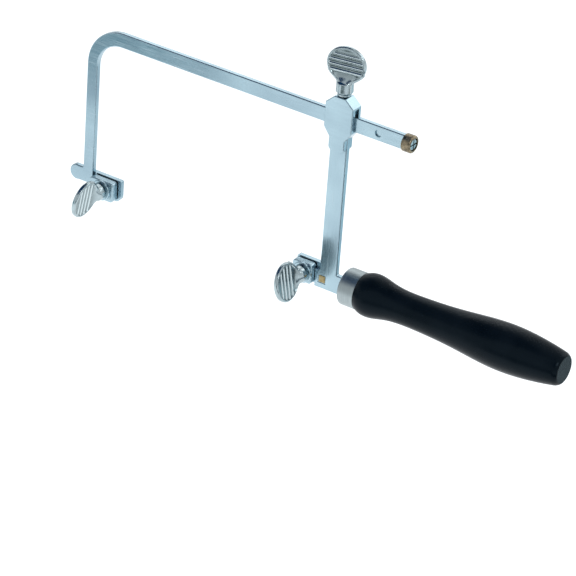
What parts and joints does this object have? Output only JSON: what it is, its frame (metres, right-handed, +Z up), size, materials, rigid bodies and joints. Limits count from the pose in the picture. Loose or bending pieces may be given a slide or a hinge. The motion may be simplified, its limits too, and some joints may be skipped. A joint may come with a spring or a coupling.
{
  "type": "jeweler saw frame",
  "caption": "Adjustable hand saw frame for fine blades: bent flat bar, sliding rear arm with a lock screw, two screw clamps and a turned black handle.",
  "frame": {"origin": "where the front clamp screw's axis crosses the blade plane", "axes": "+X along the blade towards the handle, +Z up to the spine, -Y out to the clamp screws' wings"},
  "size_m": [0.3032, 0.0406, 0.1413],
  "materials": {
    "nickel_plated_steel": "bright nickel plate over flat ground steel bar",
    "nickel_screw": "polished nickel plate over a steel pressing, ribbed wings",
    "bronze": "dark toned bronze, lightly polished",
    "brass": "brushed brass",
    "bare_steel": "ground steel",
    "ferrule_nickel": "brushed nickel tube",
    "black_lacquer": "black satin lacquer over turned beech"
  },
  "bodies": {
    "spine": {"spine_bar": "nickel_plated_steel", "end_cap": "bronze", "end_cap_screw": "nickel_screw"},
    "rear_frame": {"slide_head": "nickel_plated_steel", "rear_arm": "nickel_plated_steel", "tang": "bare_steel", "tang_pin": "brass", "ferrule": "ferrule_nickel", "handle": "black_lacquer"},
    "front_clamp_jaw": {"front_jaw": "nickel_plated_steel", "front_washer": "nickel_plated_steel"},
    "front_clamp_wing": {"front_clamp_screw": "nickel_screw"},
    "rear_clamp_jaw": {"rear_jaw": "nickel_plated_steel", "rear_washer": "nickel_plated_steel"},
    "rear_clamp_wing": {"rear_clamp_screw": "nickel_screw"},
    "lock_shoe": {"pressure_shoe": "bare_steel"},
    "lock_wing": {"lock_screw": "nickel_screw"}
  },
  "joints": [
    {"name": "rear_arm_slide", "type": "slide", "parent": "spine", "child": "rear_frame", "axis": [1, 0, 0], "range_m": [-0.105, 0.028]},
    {"name": "front_jaw_slide", "type": "slide", "parent": "spine", "child": "front_clamp_jaw", "axis": [0, -1, 0], "range_m": [-0.00047, 0.0014]},
    {"name": "front_screw_turn", "type": "hinge", "parent": "front_clamp_jaw", "child": "front_clamp_wing", "pos_m": [0, 0, 0], "axis": [0, -1, 0], "range_deg": [-240, 720]},
    {"name": "rear_jaw_slide", "type": "slide", "parent": "rear_frame", "child": "rear_clamp_jaw", "axis": [0, -1, 0], "range_m": [-0.00047, 0.0014]},
    {"name": "rear_screw_turn", "type": "hinge", "parent": "rear_clamp_jaw", "child": "rear_clamp_wing", "pos_m": [0.1285, 0, -0.002], "axis": [0, -1, 0], "range_deg": [-240, 720]},
    {"name": "lock_shoe_lift", "type": "slide", "parent": "rear_frame", "child": "lock_shoe", "axis": [0, 0, 1], "range_m": [0, 0.0014]},
    {"name": "lock_screw_turn", "type": "hinge", "parent": "lock_shoe", "child": "lock_wing", "pos_m": [0.1418, 0, 0.1003], "axis": [0, 0, 1], "range_deg": [0, 720]}
  ],
  "couplings": [
    {"joint": "front_jaw_slide", "follows": "front_screw_turn", "m_per_rad": 0.00011141},
    {"joint": "rear_jaw_slide", "follows": "rear_screw_turn", "m_per_rad": 0.00011141},
    {"joint": "lock_shoe_lift", "follows": "lock_screw_turn", "m_per_rad": 0.00011141}
  ]
}
